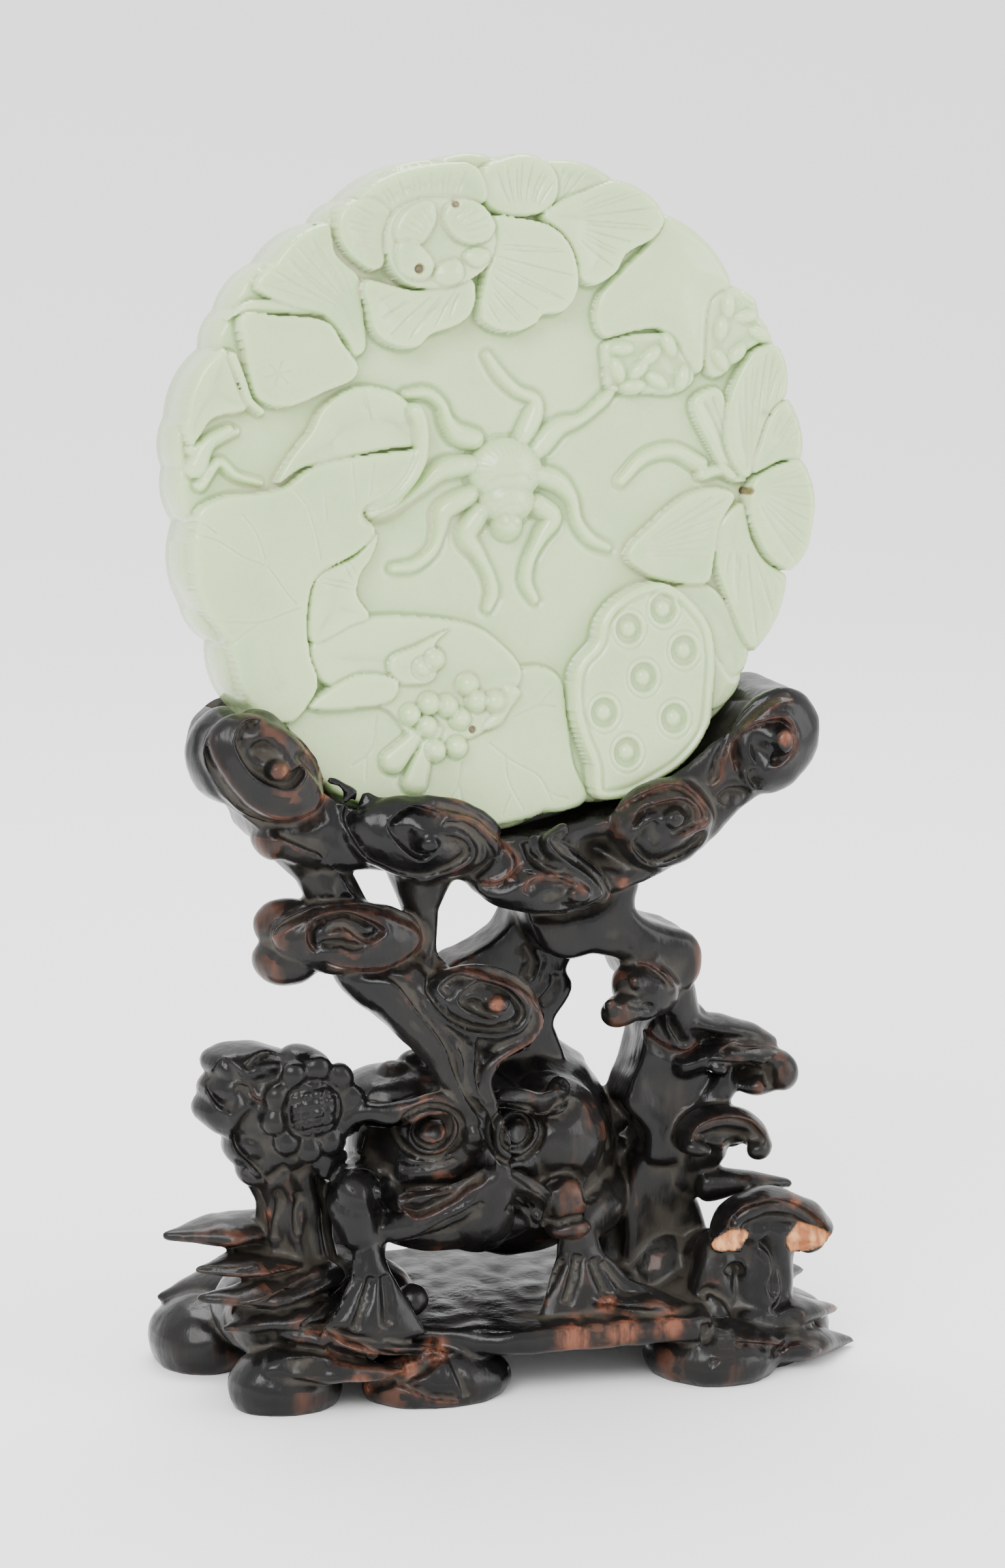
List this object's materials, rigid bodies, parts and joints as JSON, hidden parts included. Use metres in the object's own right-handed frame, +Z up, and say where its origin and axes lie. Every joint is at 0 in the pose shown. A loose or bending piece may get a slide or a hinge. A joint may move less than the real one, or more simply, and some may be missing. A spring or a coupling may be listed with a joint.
{
  "type": "carved jade plaque on a carved wooden stand",
  "caption": "Round openwork-edged jade plaque carved with lotus, leaves and a spider, resting in the groove of a dark carved hardwood stand with a toad, clouds, lotus and fungus.",
  "frame": {"origin": "middle of the footprint, on the surface the stand's feet rest on", "axes": "+Z up; the carved face of the plaque looks along -Y; +X to the viewer's right"},
  "size_m": [0.0858, 0.0442, 0.1492],
  "materials": {
    "jade": "pale celadon nephrite, soft polish, faintly see-through, with small brown flecks",
    "lacquered_wood": "dark brown-black lacquered hardwood, glossy on the high places, brown dust in the hollows, worn reddish edges"
  },
  "bodies": {
    "root": {"jade_plaque": "jade", "carved_stand": "lacquered_wood"}
  },
  "joints": []
}
